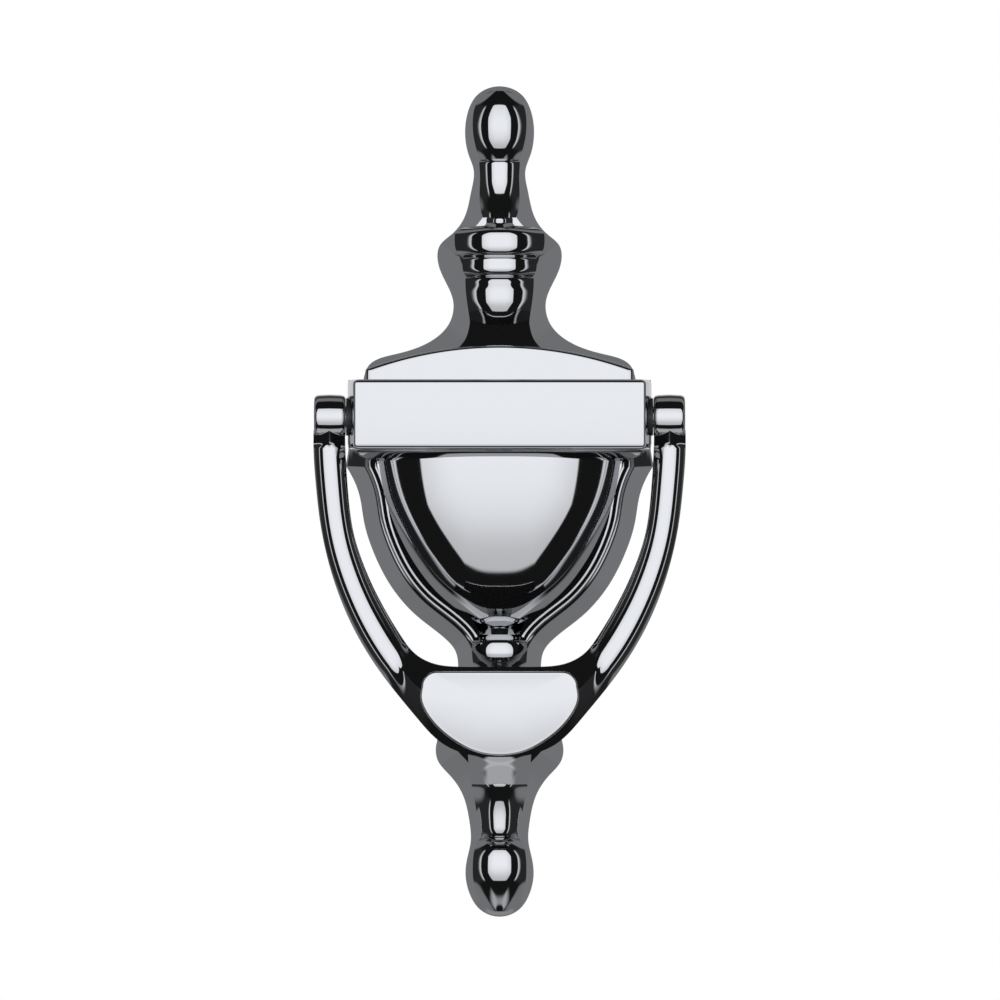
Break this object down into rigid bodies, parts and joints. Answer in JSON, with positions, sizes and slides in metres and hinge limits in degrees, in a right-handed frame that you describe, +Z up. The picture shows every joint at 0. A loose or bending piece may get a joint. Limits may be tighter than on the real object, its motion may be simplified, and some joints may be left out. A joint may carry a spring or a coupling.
{
  "type": "door knocker",
  "caption": "Urn-shaped door knocker: a bevelled cast backplate with turned finials and a crossbar, and a U-shaped knocker with a D-shaped pad that swings on pivot screws.",
  "frame": {"origin": "on the door's outer face, midway between the two fixing studs, which is the middle of the plate's height", "axes": "+Z up, +X to the right of a person facing the door, the front faces -Y and the studs point along +Y into the door"},
  "size_m": [0.0871, 0.0821, 0.195],
  "materials": {
    "backplate": "polished chrome plate on cast brass",
    "knocker_arm": "polished chrome plate on cast brass",
    "strike_button": "chrome plated brass",
    "pivot_screw_right": "chrome plated steel, slotted head",
    "pivot_screw_left": "chrome plated steel, slotted head",
    "pivot_washer_right": "black nylon",
    "pivot_washer_left": "black nylon",
    "fixing_stud_upper": "zinc plated M5 thread",
    "fixing_stud_lower": "zinc plated M5 thread",
    "stud_washer_upper": "zinc plated",
    "stud_washer_lower": "zinc plated",
    "dome_nut_upper": "chrome plated brass",
    "dome_nut_lower": "chrome plated brass"
  },
  "bodies": {
    "plate": {"backplate": "backplate", "strike_button": "strike_button", "pivot_screw_right": "pivot_screw_right", "pivot_screw_left": "pivot_screw_left", "pivot_washer_right": "pivot_washer_right", "pivot_washer_left": "pivot_washer_left", "fixing_stud_upper": "fixing_stud_upper", "fixing_stud_lower": "fixing_stud_lower", "stud_washer_upper": "stud_washer_upper", "stud_washer_lower": "stud_washer_lower", "dome_nut_upper": "dome_nut_upper", "dome_nut_lower": "dome_nut_lower"},
    "knocker": {"knocker_arm": "knocker_arm"}
  },
  "joints": [
    {"name": "knocker_swing", "type": "hinge", "parent": "plate", "child": "knocker", "pos_m": [0, -0.0125, 0.0198], "axis": [-1, 0, 0], "range_deg": [0, 155]}
  ]
}
